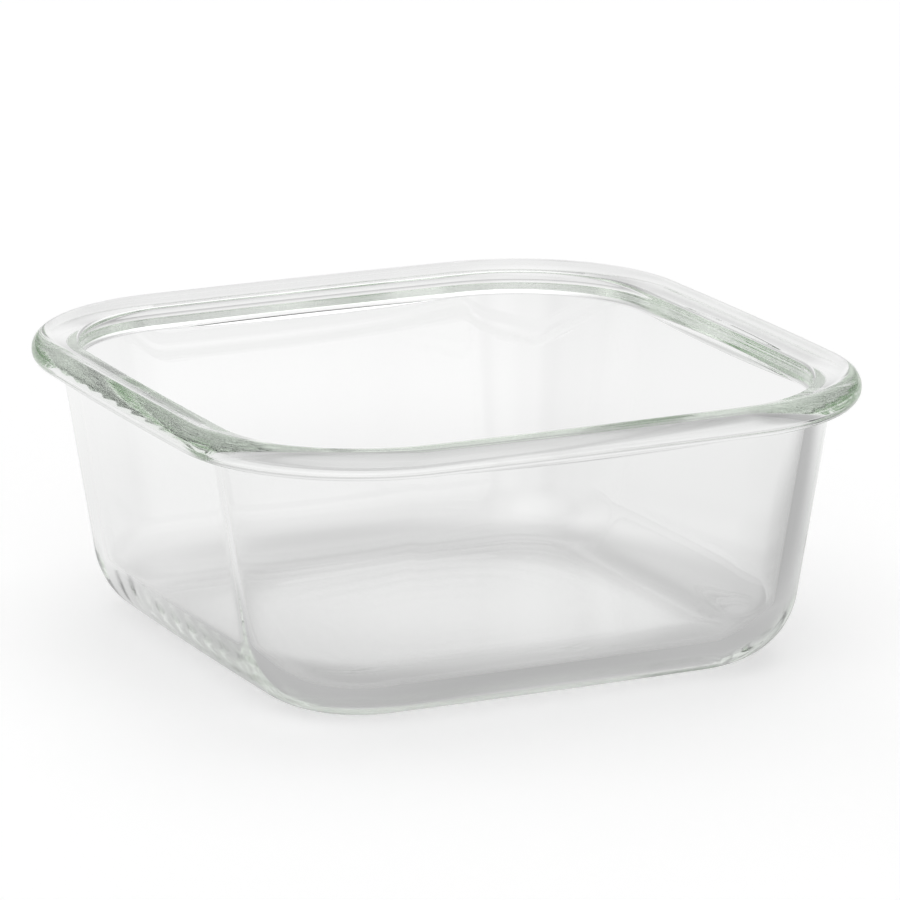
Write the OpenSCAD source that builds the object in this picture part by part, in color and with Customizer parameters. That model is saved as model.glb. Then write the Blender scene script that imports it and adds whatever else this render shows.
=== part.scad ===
// Square food storage dish in pressed clear glass: one deep dish with leaning walls, a rounded
// base, a thick bead round the rim and a shallow clip ledge under the rim on each side.
//
// Frame: origin at the centre of the base's underside, +Z up, X and Y square to the sides.
// A section point is (u, z): u runs inward from the rim's outermost edge, z up from the base.

/* [Plan] */
// Overall width and depth, between the middles of opposite sides of the rim
dish_w = 150; // [146:1:160]
// Outward bow of a side, measured between the centres of its corners
side_bow = 0.4; // [0.38:0.02:0.42]
// Half the distance between corner centres, as a multiple of the bow
side_ratio = 88; // [84:1:90]

/* [Rim] */
// Overall height of the dish
dish_h = 61.3; // [50:0.1:80]
// Thickness of the bead at its outer edge
rim_t = 6.2; // [6.1:0.1:6.8]
// How far the bead stands out past the wall below it
rim_overhang = 6.2; // [5.6:0.1:6.6]
// Rounding of the bead's upper outer edge
bead_top_r = 3.4; // [2.8:0.1:3.4]
// Rounding of the bead's lower outer edge
bead_low_r = 2.7; // [2:0.1:2.7]
// Slope of the bead's underside, falling toward the wall (degrees)
under_slope = 10; // [6:1:14]
// Slope of the rim's top face, falling toward the inside (degrees)
rim_slope = 15.5; // [10:0.5:18]
// Rounding from the top face into the inside wall
lip_r = 1.2; // [0.8:0.1:2]
// Fillet between the bead's underside and the wall
neck_r = 0.6; // [0.4:0.1:1]

/* [Walls and base] */
// Lean of the walls away from upright (degrees)
draft = 8.9; // [7:0.1:10]
// Wall thickness, square to the wall
wall_t = 4.4; // [3.8:0.1:4.8]
// Base thickness
base_t = 4.8; // [4:0.1:6]
// Outer rounding from the walls to the base
base_outer_r = 16.4; // [14:0.1:17]
// Inner rounding from the walls to the floor
base_inner_r = 12.5; // [10:0.1:14]

/* [Clip ledges] */
// How far a ledge stands out from the wall at its middle
ledge_depth = 1.5; // [0.8:0.1:1.7]
// Height of a ledge below the bead's underside
ledge_h = 1.1; // [0.8:0.1:1.6]
// Length over which a ledge rises from the wall and fades back into it
ledge_len = 63; // [50:1:76]

/* [Hidden] */

// Facets of a whole turn: arcs of the section, and the plan's corner, ledge and side arcs
ARC_FN = 64;
CORNER_FN = 120;
LEDGE_FN = 360;
SIDE_FN = 1440;

// Plan: four long side arcs tangent to four corner arcs. From a side arc's centre to a corner
// arc's centre, the rise, the run and the length are whole multiples of half the bow, so that
// neighbouring arcs end on exactly the same upright plane.
half_w = dish_w / 2;
corner_c = side_ratio * side_bow;
corner_r = half_w - corner_c - side_bow;
side_run = (side_ratio * side_ratio - 1) * side_bow / 2;
side_c = corner_c - side_run;
side_r = half_w - side_c;
join_a = atan2(corner_c, side_run);

// The wall's two faces, as u at a height
bead_under_z = dish_h - rim_t;
function wall_out_u(z) = rim_overhang + (bead_under_z - z) * tan(draft);
function wall_in_u(z) = wall_out_u(z) + wall_t / cos(draft);

// Unit vectors square to the wall, outward, to the top face, upward, and to the underside, down
WALL_OUT = [-cos(draft), -sin(draft)];
TOP_UP = [sin(rim_slope), cos(rim_slope)];
UNDER_DOWN = [-sin(under_slope), -cos(under_slope)];

// Centres of the section's arcs
base_outer_c = [wall_out_u(base_outer_r) + base_outer_r / cos(draft), base_outer_r];
base_inner_z = base_t + base_inner_r;
base_inner_c = [wall_in_u(base_inner_z) + base_inner_r / cos(draft), base_inner_z];
bead_top_c = [bead_top_r, dish_h - bead_top_r];
bead_low_c = [bead_low_r, bead_under_z + bead_low_r];

// The bead's lower rounding touches its underside, which slopes down to join the wall
touch = bead_low_c + bead_low_r * UNDER_DOWN;
join_gap = bead_under_z - touch[1] - touch[0] * tan(under_slope);
join_u = (rim_overhang + join_gap * tan(draft)) / (1 - tan(draft) * tan(under_slope));
neck_join = [join_u, touch[1] - (join_u - touch[0]) * tan(under_slope)];
neck_c = neck_join + neck_r * (UNDER_DOWN + WALL_OUT) / (1 + UNDER_DOWN * WALL_OUT);

// The lip's arc touches both the inside wall and the sloping top face
lip_u0 = wall_in_u(0) - lip_r / cos(draft);
lip_drop = bead_top_r - lip_r - (lip_u0 - bead_top_r) * sin(rim_slope);
lip_lean = cos(rim_slope) - tan(draft) * sin(rim_slope);
lip_z = (lip_drop + bead_top_c[1] * cos(rim_slope)) / lip_lean;
lip_c = [lip_u0 - lip_z * tan(draft), lip_z];

// The swept ring ends on the flat floor, where the centre slab laps into it
lap = 0.5;
floor_u = max(base_outer_c[0], base_inner_c[0]) + 4 * lap;
slab_half = half_w - floor_u + lap;
slab_corner_r = corner_r - floor_u + lap;
slab_corner_c = slab_half - slab_corner_r;

// A clip ledge follows a tighter arc than the side, so its ends sink into the wall
ledge_u = neck_join[0] - ledge_depth;
ledge_foot_z = neck_join[1] - ledge_h;
ledge_r = 1 / (8 * ledge_depth / (ledge_len * ledge_len) + 1 / side_r);
ledge_a = asin(ledge_len / 2 / ledge_r);
ledge_root_u = rim_overhang + wall_t / 2;

// The section filled in: base rounding, wall, underside, bead and top face
module filled_section() {
    polygon([
        [floor_u, 0],
        [base_outer_c[0], 0],
        base_outer_c + base_outer_r * WALL_OUT,
        neck_join,
        touch,
        [0, bead_low_c[1]],
        [0, bead_top_c[1]],
        bead_top_c + bead_top_r * TOP_UP,
        lip_c + lip_r * TOP_UP,
        lip_c - lip_r * WALL_OUT,
        [floor_u, lip_c[1]]
    ]);
    translate(base_outer_c) circle(r = base_outer_r, $fn = ARC_FN);
    translate(bead_low_c) circle(r = bead_low_r, $fn = ARC_FN);
    translate(bead_top_c) circle(r = bead_top_r, $fn = ARC_FN);
}

// The hollow above the floor and inside the walls
module hollow_section() {
    polygon([
        [floor_u + base_outer_r, base_t],
        [base_inner_c[0], base_t],
        base_inner_c + base_inner_r * WALL_OUT,
        lip_c - lip_r * WALL_OUT,
        [floor_u + base_outer_r, lip_c[1] + lip_r]
    ]);
    translate(base_inner_c) circle(r = base_inner_r, $fn = ARC_FN);
}

// Fillet in the corner between the bead's underside and the wall
module neck_section() {
    difference() {
        polygon([
            neck_c,
            neck_c - neck_r * UNDER_DOWN,
            neck_join,
            neck_c - neck_r * WALL_OUT
        ]);
        translate(neck_c) circle(r = neck_r, $fn = ARC_FN);
    }
}

// The whole section, from the rim's edge to the flat floor
module dish_section() {
    intersection() {
        union() {
            difference() {
                filled_section();
                hollow_section();
            }
            translate(lip_c) circle(r = lip_r, $fn = ARC_FN);
            neck_section();
        }
        square([floor_u, dish_h]);
    }
}

// Section of a clip ledge: a short upright face, then a slope back down to the wall
module ledge_section() {
    polygon([
        [ledge_u, neck_join[1] + ledge_depth],
        [ledge_u, neck_join[1] - ledge_h / 3],
        [wall_out_u(ledge_foot_z), ledge_foot_z],
        [ledge_root_u, ledge_foot_z],
        [ledge_root_u, neck_join[1] + ledge_depth]
    ]);
}

// Sweeps a section about the upright axis at arc_c, its u = 0 edge at radius arc_r
module swept(arc_c, arc_r, start_a, turn_a, facets) {
    translate([arc_c[0], arc_c[1], 0])
        rotate_extrude(start = start_a, angle = turn_a, $fn = facets)
            translate([arc_r, 0])
                mirror([1, 0])
                    children();
}

// Upright block that trims a sweep to its own stretch of the plan
module trim_block(plan) {
    translate([0, 0, -lap])
        linear_extrude(height = dish_h + 2 * lap)
            polygon(plan);
}

// Points on the two join planes of the +X, +Y corner, well outside the rim
reach = 0.05;
corner_p = [corner_c, corner_c];
join_low = corner_p + reach * [side_run, corner_c];
join_high = corner_p + reach * [corner_c, side_run];

// The +X side's stretch of the ring
module side_stretch() {
    intersection() {
        swept([side_c, 0], side_r, -1.2 * join_a, 2.4 * join_a, SIDE_FN) dish_section();
        trim_block([corner_p, join_low, [join_low[0], -join_low[1]], [corner_c, -corner_c]]);
    }
}

// The +X, +Y corner's stretch of the ring
module corner_stretch() {
    intersection() {
        swept(corner_p, corner_r, 0, 90, CORNER_FN) dish_section();
        trim_block([corner_p, join_low, [join_low[0], join_high[1]], join_high]);
    }
}

module clip_ledge() {
    swept([half_w - ledge_r, 0], ledge_r, -ledge_a, 2 * ledge_a, LEDGE_FN) ledge_section();
}

// Flat middle of the base
module centre_slab() {
    linear_extrude(height = base_t) {
        square([2 * slab_half, 2 * slab_corner_c], center = true);
        square([2 * slab_corner_c, 2 * slab_half], center = true);
        for (x = [-slab_corner_c, slab_corner_c], y = [-slab_corner_c, slab_corner_c])
            translate([x, y]) circle(r = slab_corner_r, $fn = ARC_FN);
    }
}

module glass_dish() {
    color([0.86, 0.93, 0.89, 0.4]) {
        for (turn = [0 : 90 : 270])
            rotate([0, 0, turn]) {
                side_stretch();
                corner_stretch();
                clip_ledge();
            }
        centre_slab();
    }
}

glass_dish();
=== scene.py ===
import math

import bpy
import numpy as np
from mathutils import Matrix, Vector


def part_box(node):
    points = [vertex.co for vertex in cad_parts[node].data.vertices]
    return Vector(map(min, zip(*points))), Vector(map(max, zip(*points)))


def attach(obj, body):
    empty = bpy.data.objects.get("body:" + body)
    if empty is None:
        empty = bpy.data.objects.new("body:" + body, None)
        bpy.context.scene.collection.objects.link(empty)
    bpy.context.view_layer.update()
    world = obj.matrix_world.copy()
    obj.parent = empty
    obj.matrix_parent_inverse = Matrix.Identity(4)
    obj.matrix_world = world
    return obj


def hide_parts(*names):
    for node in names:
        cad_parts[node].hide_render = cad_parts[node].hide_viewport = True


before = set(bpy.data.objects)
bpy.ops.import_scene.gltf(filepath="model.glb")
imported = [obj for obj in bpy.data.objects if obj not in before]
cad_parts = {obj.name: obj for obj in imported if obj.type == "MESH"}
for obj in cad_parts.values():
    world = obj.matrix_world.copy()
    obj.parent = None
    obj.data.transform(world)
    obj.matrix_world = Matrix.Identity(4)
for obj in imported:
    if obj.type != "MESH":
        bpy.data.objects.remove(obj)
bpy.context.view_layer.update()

# Pressed clear glass dish on a pale floor under soft light. Lengths are in metres and angles in
# degrees, unless a comment says otherwise. A section point is (u, z): u runs inward from the
# rim's outermost edge and z up from the base, as in the CAD.

dish_low, dish_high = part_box("glass_dish")
DISH_H = dish_high.z - dish_low.z
HALF_W = (dish_high.x - dish_low.x) / 2

# Plan: long side arcs tangent to corner arcs
SIDE_BOW = 0.0004
SIDE_RATIO = 88
CORNER_C = SIDE_RATIO * SIDE_BOW
CORNER_R = HALF_W - CORNER_C - SIDE_BOW
SIDE_RUN = (SIDE_RATIO ** 2 - 1) * SIDE_BOW / 2
SIDE_C = CORNER_C - SIDE_RUN
SIDE_R = HALF_W - SIDE_C
JOIN_A = math.degrees(math.atan2(CORNER_C, SIDE_RUN))

# Rim
RIM_T = 0.0062
RIM_OVERHANG = 0.0062
BEAD_TOP_R = 0.0034
BEAD_LOW_R = 0.0027
RIM_SLOPE = 15.5
UNDER_SLOPE = 10
LIP_R = 0.0012
NECK_R = 0.0006

# Walls and base
DRAFT = 8.9
WALL_T = 0.0044
BASE_T = 0.0048
BASE_OUTER_R = 0.0164
BASE_INNER_R = 0.0125

# Clip ledges
LEDGE_DEPTH = 0.0015
LEDGE_H = 0.0011
LEDGE_LEN = 0.063

# Ripples pressed into the floor: height of the outermost, spacing, distances to die out and to
# start from the wall, and how they sway as (times round, amount, start)
WAVE_H = 0.00004
WAVE_PITCH = 0.0065
WAVE_FADE = 0.013
WAVE_START = WAVE_FADE / 4
WAVE_SWAYS = [(2, 0.8, 0.4), (5, 0.5, 1.3)]

# Steps of the mesh along the section: over plain faces, round large arcs, on the bead, at crisp
# edges and under the bead; and how fast a step may grow from one to the next
LONG_STEP = 0.0015
ARC_STEP = 0.0006
RIM_STEP = 0.00019
EDGE_STEP = 0.0001
UNDER_STEP = 0.00004
GROWTH = 1.45

# Steps along a side and round a corner, rings over the flat floor and the flat underside, and
# how soon those rings turn round on the way in
SIDE_STEPS = 38
CORNER_STEPS = 38
FLOOR_RINGS = 30
UNDERSIDE_RINGS = 12
ROUNDING_POWER = 1.2

UNDER_Z = DISH_H - RIM_T
TAN_D = math.tan(math.radians(DRAFT))
COS_D = math.cos(math.radians(DRAFT))
SIN_D = math.sin(math.radians(DRAFT))
TAN_B = math.tan(math.radians(UNDER_SLOPE))
COS_B = math.cos(math.radians(UNDER_SLOPE))
SIN_B = math.sin(math.radians(UNDER_SLOPE))

# Where the bead's lower rounding ends on its underside, and where the underside meets the wall
TOUCH_U = BEAD_LOW_R * (1 - SIN_B)
TOUCH_Z = UNDER_Z + BEAD_LOW_R * (1 - COS_B)
JOIN_U = (RIM_OVERHANG + TAN_D * (UNDER_Z - TOUCH_Z - TOUCH_U * TAN_B)) / (1 - TAN_D * TAN_B)
JOIN_Z = TOUCH_Z - (JOIN_U - TOUCH_U) * TAN_B

# Centre of the fillet between the wall and the underside
NECK_SPAN = NECK_R / (1 + SIN_B * COS_D + COS_B * SIN_D)
NECK_U = JOIN_U - NECK_SPAN * (SIN_B + COS_D)
NECK_Z = JOIN_Z - NECK_SPAN * (COS_B + SIN_D)


def wall_out_u(z):
    return RIM_OVERHANG + (UNDER_Z - z) * TAN_D


def wall_in_u(z):
    return wall_out_u(z) + WALL_T / COS_D


def graded(length, first, last, longest):
    """Distances from 0 to length, in steps that grow from first and shrink again to last."""
    head, tail = [0.0], [0.0]
    up, down = first, last
    while head[-1] + tail[-1] + min(up, down) < length:
        if up <= down:
            head.append(head[-1] + up)
            up = min(up * GROWTH, longest)
        else:
            tail.append(tail[-1] + down)
            down = min(down * GROWTH, longest)
    if length - head[-1] - tail[-1] < min(up, down) / 2 and len(head) > 1:
        head.pop()
    return head[1:] + [length - t for t in reversed(tail)]


def add_run(points, end, first, last, longest):
    """Carries a section line straight on to end."""
    start, end = np.array(points[-1]), np.array(end)
    length = np.linalg.norm(end - start)
    if length > 1e-9:
        points += [tuple(start + (end - start) * d / length)
                   for d in graded(length, first, last, longest)]


def add_arc(points, centre, radius, a0, a1, step):
    """Carries a section line on round an arc, from angle a0 to a1."""
    turn = math.radians(a1 - a0)
    count = max(3, math.ceil(abs(turn) * radius / step))
    for i in range(1, count + 1):
        a = math.radians(a0) + turn * i / count
        points.append((centre[0] + radius * math.cos(a), centre[1] + radius * math.sin(a)))


def outside_line():
    """Underside and outer wall, from the flat base up to just below the clip ledge."""
    r = BASE_OUTER_R
    centre = (wall_out_u(r) + r / COS_D, r)
    points = [(FLAT_U, 0.0)]
    add_run(points, (centre[0], 0.0), LONG_STEP, ARC_STEP, LONG_STEP)
    add_arc(points, centre, r, -90, -180 + DRAFT, ARC_STEP)
    top = JOIN_Z - LEDGE_H - NECK_R
    add_run(points, (wall_out_u(top), top), ARC_STEP, EDGE_STEP, LONG_STEP)
    return points


def neck_u(z, along):
    """The outer face from wall to bead: wall, fillet and underside, with the ledge over them."""
    rise = np.clip(z - NECK_Z, 0, NECK_R)
    fillet = NECK_U + np.sqrt(NECK_R ** 2 - rise ** 2)
    underside = JOIN_U - (z - JOIN_Z) / TAN_B
    plain = np.where(z < NECK_Z + NECK_R * SIN_D, wall_out_u(z),
                     np.where(z < NECK_Z + NECK_R * COS_B, fillet, underside))
    sunk = LEDGE_DEPTH * (2 * along / LEDGE_LEN) ** 2
    edge_z = JOIN_Z - LEDGE_H / 3
    foot_z = JOIN_Z - LEDGE_H
    edge_u = JOIN_U - LEDGE_DEPTH
    slope = (wall_out_u(foot_z) - edge_u) / (edge_z - foot_z)
    ledge = edge_u + sunk + np.maximum(edge_z - z, 0) * slope
    return np.minimum(plain, ledge)


def bead_line():
    """Bead, top face, lip, inside wall and inner base rounding, ending on the flat floor."""
    low_c = (BEAD_LOW_R, UNDER_Z + BEAD_LOW_R)
    top_c = (BEAD_TOP_R, DISH_H - BEAD_TOP_R)
    sin_s, cos_s = math.sin(math.radians(RIM_SLOPE)), math.cos(math.radians(RIM_SLOPE))
    lip_u0 = wall_in_u(0) - LIP_R / COS_D
    lip_drop = BEAD_TOP_R - LIP_R - (lip_u0 - BEAD_TOP_R) * sin_s
    lip_z = (lip_drop + top_c[1] * cos_s) / (cos_s - TAN_D * sin_s)
    lip_c = (lip_u0 - lip_z * TAN_D, lip_z)
    inner_z = BASE_T + BASE_INNER_R
    inner_c = (wall_in_u(inner_z) + BASE_INNER_R / COS_D, inner_z)
    points = [(TOUCH_U, TOUCH_Z)]
    add_arc(points, low_c, BEAD_LOW_R, -90 - UNDER_SLOPE, -180, RIM_STEP)
    add_run(points, (0.0, top_c[1]), RIM_STEP, RIM_STEP, RIM_STEP)
    add_arc(points, top_c, BEAD_TOP_R, 180, 90 - RIM_SLOPE, RIM_STEP)
    add_run(points, (lip_c[0] + LIP_R * sin_s, lip_c[1] + LIP_R * cos_s),
            RIM_STEP, RIM_STEP, 2 * RIM_STEP)
    add_arc(points, lip_c, LIP_R, 90 - RIM_SLOPE, DRAFT, RIM_STEP)
    add_run(points, (inner_c[0] - BASE_INNER_R * COS_D, inner_z - BASE_INNER_R * SIN_D),
            RIM_STEP, ARC_STEP, LONG_STEP)
    add_arc(points, inner_c, BASE_INNER_R, 180 + DRAFT, 270, ARC_STEP)
    add_run(points, (FLAT_U, BASE_T), ARC_STEP, LONG_STEP, LONG_STEP)
    return points


# Where the swept section ends, on the flat middle of the base, and half the flat floor's width
FLAT_U = 0.031
FLOOR_HALF_W = HALF_W - wall_in_u(BASE_T + BASE_INNER_R) - BASE_INNER_R / COS_D


def plan_stations():
    """Rows of (arc centre x, y, arc radius, angle, distance along the side) round the plan."""
    rows = []
    for quarter in range(0, 360, 90):
        c, s = round(math.cos(math.radians(quarter))), round(math.sin(math.radians(quarter)))
        for i in range(SIDE_STEPS):
            a = JOIN_A * (2 * i / SIDE_STEPS - 1)
            rows.append((SIDE_C * c, SIDE_C * s, SIDE_R, a + quarter,
                         SIDE_R * math.sin(math.radians(a))))
        for i in range(CORNER_STEPS):
            a = JOIN_A + (90 - 2 * JOIN_A) * i / CORNER_STEPS
            rows.append((CORNER_C * (c - s), CORNER_C * (c + s), CORNER_R, a + quarter, LEDGE_LEN))
    return np.array(rows).T


def swept_rings():
    """The section swept round the plan: one ring of points for each section point."""
    cx, cy, radius, angle, along = plan_stations()
    ones = np.ones_like(along)
    rings = [(u * ones, z * ones) for u, z in outside_line()]
    below, middle = JOIN_Z - LEDGE_H - NECK_R, JOIN_Z - LEDGE_H / 3
    heights = [below + d for d in graded(middle - below, EDGE_STEP, UNDER_STEP, EDGE_STEP)]
    heights += [middle + d for d in graded(TOUCH_Z - middle, UNDER_STEP, UNDER_STEP, UNDER_STEP)]
    rings += [(neck_u(z, along), z * ones) for z in heights[:-1]]
    rings += [(u * ones, z * ones) for u, z in bead_line()]
    out = []
    for u, z in rings:
        a = np.radians(angle)
        out.append(np.stack([cx + (radius - u) * np.cos(a), cy + (radius - u) * np.sin(a), z], 1))
    return out


def flat_rings(edge, count):
    """Rings from an edge ring in toward the middle, turning rounder as they shrink."""
    reach = np.hypot(edge[:, 0], edge[:, 1])
    inmost = reach.min()
    out = []
    for i in range(1, count):
        scale = 1 - i / count
        round_share = (1 - scale) ** ROUNDING_POWER
        target = (reach * (1 - round_share) + inmost * round_share) * scale / reach
        out.append(edge * np.stack([target, target, np.ones_like(target)], 1))
    return out


def plunger_waves(verts):
    """Ripples that the plunger leaves in the floor: along the walls, dying out toward the middle."""
    x, y, z = verts.T
    inward = FLOOR_HALF_W - (x ** 4 + y ** 4) ** 0.25
    turn = np.arctan2(y, x)
    phase = sum(amount * np.sin(times * turn + start) for times, amount, start in WAVE_SWAYS)
    wave = WAVE_H * np.exp(-inward / WAVE_FADE) * np.cos(2 * np.pi * inward / WAVE_PITCH + phase)
    on_floor = np.clip(1 - (z - BASE_T) / (2 * WAVE_H), 0, 1) * np.clip(inward / WAVE_START, 0, 1)
    verts[:, 2] = z + wave * on_floor * (z > BASE_T - WAVE_H)


def dish_mesh():
    """The whole dish as one closed mesh."""
    rings = swept_rings()
    underside = flat_rings(rings[0], UNDERSIDE_RINGS)
    floor = flat_rings(rings[-1], FLOOR_RINGS)
    rings = underside[::-1] + rings + floor
    count = len(rings[0])
    verts = np.concatenate(rings + [[[0, 0, 0]], [[0, 0, BASE_T]]])
    plunger_waves(verts)
    low_mid, high_mid = len(verts) - 2, len(verts) - 1
    faces = []
    for j in range(len(rings) - 1):
        a, b = j * count, (j + 1) * count
        for i in range(count):
            n = (i + 1) % count
            faces.append((a + i, a + n, b + n, b + i))
    last = (len(rings) - 1) * count
    for i in range(count):
        n = (i + 1) % count
        faces.append((low_mid, n, i))
        faces.append((last + i, last + n, high_mid))
    mesh = bpy.data.meshes.new("dish")
    mesh.from_pydata(verts.tolist(), [], faces)
    mesh.polygons.foreach_set("use_smooth", [True] * len(mesh.polygons))
    mesh.update()
    return mesh


# What a metre of the glass takes out of red, green and blue is (1 - tint) x density
GLASS_TINT = (0.875, 0.925, 0.863)
GLASS_DENSITY = 6
GLASS_INDEX = 1.5

# Unevenness of the pressed skin: waves per metre, finer octaves, and height in metres
SKIN_SCALE = 70
SKIN_DETAIL = 1.5
SKIN_H = 0.000005


def new_material(name):
    material = bpy.data.materials.new(name)
    material.use_nodes = True
    tree = material.node_tree
    tree.nodes.clear()
    return material, tree, tree.nodes.new("ShaderNodeOutputMaterial")


def glass_material():
    """Clear pressed glass: faintly green through its depth."""
    material, tree, out = new_material("clear_glass")
    glass = tree.nodes.new("ShaderNodeBsdfPrincipled")
    glass.inputs["Base Color"].default_value = (1, 1, 1, 1)
    glass.inputs["Roughness"].default_value = 0
    glass.inputs["IOR"].default_value = GLASS_INDEX
    glass.inputs["Transmission Weight"].default_value = 1
    place = tree.nodes.new("ShaderNodeTexCoord")
    unevenness = tree.nodes.new("ShaderNodeTexNoise")
    unevenness.inputs["Scale"].default_value = SKIN_SCALE
    unevenness.inputs["Detail"].default_value = SKIN_DETAIL
    skin = tree.nodes.new("ShaderNodeBump")
    skin.inputs["Distance"].default_value = SKIN_H
    tree.links.new(place.outputs["Object"], unevenness.inputs["Vector"])
    tree.links.new(unevenness.outputs["Fac"], skin.inputs["Height"])
    tree.links.new(skin.outputs["Normal"], glass.inputs["Normal"])
    depth = tree.nodes.new("ShaderNodeVolumeAbsorption")
    depth.inputs["Color"].default_value = (*GLASS_TINT, 1)
    depth.inputs["Density"].default_value = GLASS_DENSITY
    tree.links.new(glass.outputs[0], out.inputs["Surface"])
    tree.links.new(depth.outputs[0], out.inputs["Volume"])
    return material


# The floor's own glow, half its width, and the gap that keeps it clear of the dish's underside
FLOOR_GLOW = 0.45
FLOOR_HALF = 20.0
FLOOR_GAP = 0.00003

# Shade on the floor as seen through the glass: distance from the dish's centre, and brightness
SHADE = [
    (0, 0.82),
    (0.04, 0.76),
    (0.055, 0.6),
    (0.07, 0.65),
    (0.09, 0.86),
    (0.13, 0.86),
    (0.22, 0.93),
    (0.4, 0.85),
]
SHADE_REACH = SHADE[-1][0]

# A darker patch of painted shadow on the floor: its centre, full and fading radii, and the share of
# light left
PATCH_AT = (0.18, -0.086, 0)
PATCH_FULL = 0.08
PATCH_FADE = 0.16
PATCH_LIGHT = 0.54

# Painted shade under the front of the dish, where the floor falls off: the way it does so, where,
# and the share left
FRONT_WAY = (-0.429, -0.903, 0)
FRONT_START = -0.02
FRONT_END = 0.055
FRONT_LIGHT = 0.75


def seen_directly(tree):
    """1 for what the camera sees straight, 0 for light on its way through glass or off the floor."""
    return tree.nodes.new("ShaderNodeLightPath").outputs["Is Camera Ray"]


def measure(tree, operation, place, other):
    """DISTANCE of a place from another, or DOT_PRODUCT with it, as a socket."""
    node = tree.nodes.new("ShaderNodeVectorMath")
    node.operation = operation
    node.inputs[1].default_value = other
    tree.links.new(place, node.inputs[0])
    return node.outputs["Value"]


def soft_step(tree, value, start, end, before, after):
    """A smooth change from before to after, while value goes from start to end, as a socket."""
    node = tree.nodes.new("ShaderNodeMapRange")
    node.interpolation_type = "SMOOTHSTEP"
    node.inputs["From Min"].default_value = start
    node.inputs["From Max"].default_value = end
    node.inputs["To Min"].default_value = before
    node.inputs["To Max"].default_value = after
    tree.links.new(value, node.inputs["Value"])
    return node.outputs["Result"]


def combine(tree, operation, first, second):
    """Sum or product of two sockets."""
    node = tree.nodes.new("ShaderNodeMath")
    node.operation = operation
    tree.links.new(first, node.inputs[0])
    tree.links.new(second, node.inputs[1])
    return node.outputs[0]


def shade_rings(tree, place):
    """The dish's own soft shade round its walls, as a colour socket."""
    reach = tree.nodes.new("ShaderNodeMapRange")
    reach.inputs["From Max"].default_value = SHADE_REACH
    tree.links.new(measure(tree, "DISTANCE", place, (0, 0, 0)), reach.inputs["Value"])
    ramp = tree.nodes.new("ShaderNodeValToRGB")
    ramp.color_ramp.interpolation = "EASE"
    stops = ramp.color_ramp.elements
    for radius, light in SHADE[1:-1]:
        stops.new(radius / SHADE_REACH)
    for stop, (radius, light) in zip(stops, SHADE):
        stop.color = (light, light, light, 1)
    tree.links.new(reach.outputs["Result"], ramp.inputs["Fac"])
    return ramp.outputs["Color"]


def shaded_floor(tree):
    """The floor as the glass shows it, a glow with painted shade: rings of shade, one darker patch
    of painted shadow and a darker painted front.
    """
    place = tree.nodes.new("ShaderNodeNewGeometry").outputs["Position"]
    gap = measure(tree, "DISTANCE", place, PATCH_AT)
    # Painted shadow patch and painted shade under the front, multiplied into the floor's glow
    shadow_patch = soft_step(tree, gap, PATCH_FULL, PATCH_FADE, PATCH_LIGHT, 1)
    forward = measure(tree, "DOT_PRODUCT", place, FRONT_WAY)
    front_shade = soft_step(tree, forward, FRONT_START, FRONT_END, 1, FRONT_LIGHT)
    light = tree.nodes.new("ShaderNodeEmission")
    tree.links.new(shade_rings(tree, place), light.inputs["Color"])
    tree.links.new(combine(tree, "MULTIPLY", shadow_patch, front_shade), light.inputs["Strength"])
    return light.outputs[0]


def floor_material():
    """Matt white acrylic lit a little from below, shaded where it is seen through the glass."""
    material, tree, out = new_material("pale_floor")
    matt = tree.nodes.new("ShaderNodeBsdfDiffuse")
    matt.inputs["Color"].default_value = (0.8, 0.8, 0.8, 1)
    glow = tree.nodes.new("ShaderNodeEmission")
    glow.inputs["Strength"].default_value = FLOOR_GLOW
    both = tree.nodes.new("ShaderNodeAddShader")
    tree.links.new(matt.outputs[0], both.inputs[0])
    tree.links.new(glow.outputs[0], both.inputs[1])
    mix = tree.nodes.new("ShaderNodeMixShader")
    tree.links.new(seen_directly(tree), mix.inputs["Fac"])
    tree.links.new(shaded_floor(tree), mix.inputs[1])
    tree.links.new(both.outputs[0], mix.inputs[2])
    tree.links.new(mix.outputs[0], out.inputs["Surface"])
    return material


def make_floor():
    h, z = FLOOR_HALF, -FLOOR_GAP
    mesh = bpy.data.meshes.new("floor")
    mesh.from_pydata([(-h, -h, z), (h, -h, z), (h, h, z), (-h, h, z)], [], [(0, 1, 2, 3)])
    mesh.materials.append(floor_material())
    floor = bpy.data.objects.new("floor", mesh)
    bpy.context.scene.collection.objects.link(floor)


# The camera's place as seen from the dish, the point it circles, its distance, how far its aim
# is moved right and up (as slopes), and its lens in millimetres
CAMERA_AZIMUTH = -25.4
CAMERA_ELEVATION = 15.07
CAMERA_CENTRE = (0, 0, 0.030)
CAMERA_DISTANCE = 1.311
AIM_RIGHT = 0.001346
AIM_UP = 0.006955
CAMERA_LENS = 250.8

# Soft studio cards: azimuth round from the main view, elevation and strength
CARDS = [
    (30, 50, 0.3),
    (30, 0, 0.48),
    (180, 0, 0.52),
    (150, 70, 1.35),
    (240, 30, 1.07),
    (60, 0, 1.39),
    (330, 50, 0.93),
    (180, 30, 0.62),
    (0, 0, 1.11),
    (0, 50, 0.79),
    (300, 0, 0.7),
    (150, 12, 0.19),
    (210, 50, 0.15),
    (0, 90, 0.28),
]

# Half-widths of a card, fully bright and faded out
CARD_FULL = 12.25
CARD_FADE = 35

# Strength of the plain white room where the camera sees it straight, past the floor's far edge
ROOM_LIGHT = 1.3


def direction_to(azimuth, elevation):
    """Unit vector toward a direction; azimuth 0 is -Y."""
    a, e = math.radians(azimuth), math.radians(elevation)
    return Vector((math.sin(a) * math.cos(e), -math.cos(a) * math.cos(e), math.sin(e)))


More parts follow.
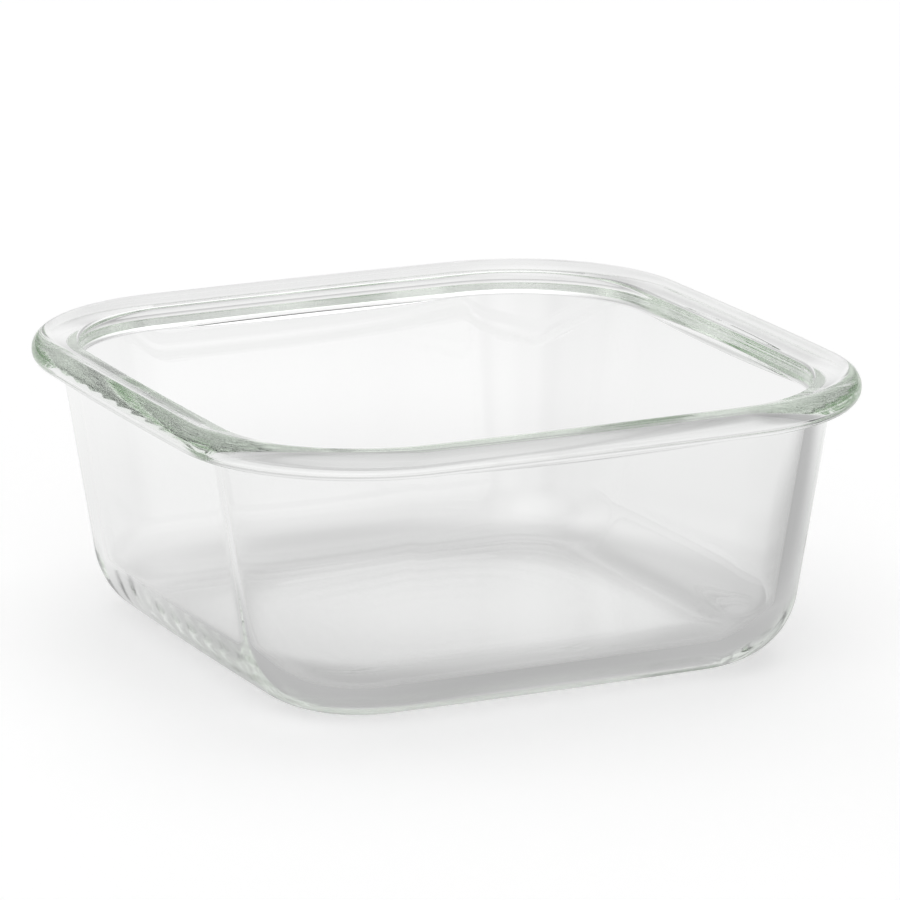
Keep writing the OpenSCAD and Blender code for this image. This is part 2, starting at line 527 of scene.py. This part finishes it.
def card_light(tree, direction, card):
    """Brightness of one soft-edged card, as a socket."""
    azimuth, elevation, strength = card
    toward = direction_to(azimuth + CAMERA_AZIMUTH, elevation)
    closeness = measure(tree, "DOT_PRODUCT", direction, toward)
    edge, middle = math.cos(math.radians(CARD_FADE)), math.cos(math.radians(CARD_FULL))
    return soft_step(tree, closeness, edge, middle, 0, strength)


def make_light():
    """A pale room, with soft cards that light the dish and the floor."""
    world = bpy.data.worlds.new("studio")
    world.use_nodes = True
    tree = world.node_tree
    tree.nodes.clear()
    direction = tree.nodes.new("ShaderNodeTexCoord").outputs["Generated"]
    total = card_light(tree, direction, CARDS[0])
    for card in CARDS[1:]:
        total = combine(tree, "ADD", total, card_light(tree, direction, card))
    mix = tree.nodes.new("ShaderNodeMix")
    mix.inputs["B"].default_value = ROOM_LIGHT
    tree.links.new(seen_directly(tree), mix.inputs["Factor"])
    tree.links.new(total, mix.inputs["A"])
    background = tree.nodes.new("ShaderNodeBackground")
    tree.links.new(mix.outputs["Result"], background.inputs["Strength"])
    out = tree.nodes.new("ShaderNodeOutputWorld")
    tree.links.new(background.outputs[0], out.inputs["Surface"])
    bpy.context.scene.world = world


def make_camera():
    back = direction_to(CAMERA_AZIMUTH, CAMERA_ELEVATION)
    right = direction_to(CAMERA_AZIMUTH + 90, 0)
    up = back.cross(right)
    data = bpy.data.cameras.new("camera")
    camera = bpy.data.objects.new("camera", data)
    bpy.context.scene.collection.objects.link(camera)
    camera.location = Vector(CAMERA_CENTRE) + back * CAMERA_DISTANCE
    aim = -back + right * AIM_RIGHT + up * AIM_UP
    camera.rotation_mode = "QUATERNION"
    camera.rotation_quaternion = aim.to_track_quat("-Z", "Y")
    data.lens = CAMERA_LENS
    data.clip_start = 0.1
    data.clip_end = 100
    bpy.context.scene.camera = camera


# Light that runs along inside the walls is turned back many times before it comes out
MAX_BOUNCES = 256
DIFFUSE_BOUNCES = 6


def set_look():
    """Plain colours, and light followed all the way through the glass."""
    scene = bpy.context.scene
    scene.view_settings.view_transform = "Standard"
    cycles = scene.cycles
    cycles.max_bounces = MAX_BOUNCES
    cycles.transmission_bounces = MAX_BOUNCES
    cycles.glossy_bounces = MAX_BOUNCES
    cycles.diffuse_bounces = DIFFUSE_BOUNCES
    cycles.caustics_reflective = True
    cycles.caustics_refractive = True
    cycles.sample_clamp_indirect = 0
    cycles.use_denoising = True


def make_dish():
    dish = bpy.data.objects.new("dish", dish_mesh())
    bpy.context.scene.collection.objects.link(dish)
    dish.data.materials.append(glass_material())
    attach(dish, "root")
    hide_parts("glass_dish")


make_camera()
set_look()
make_light()
make_floor()
make_dish()
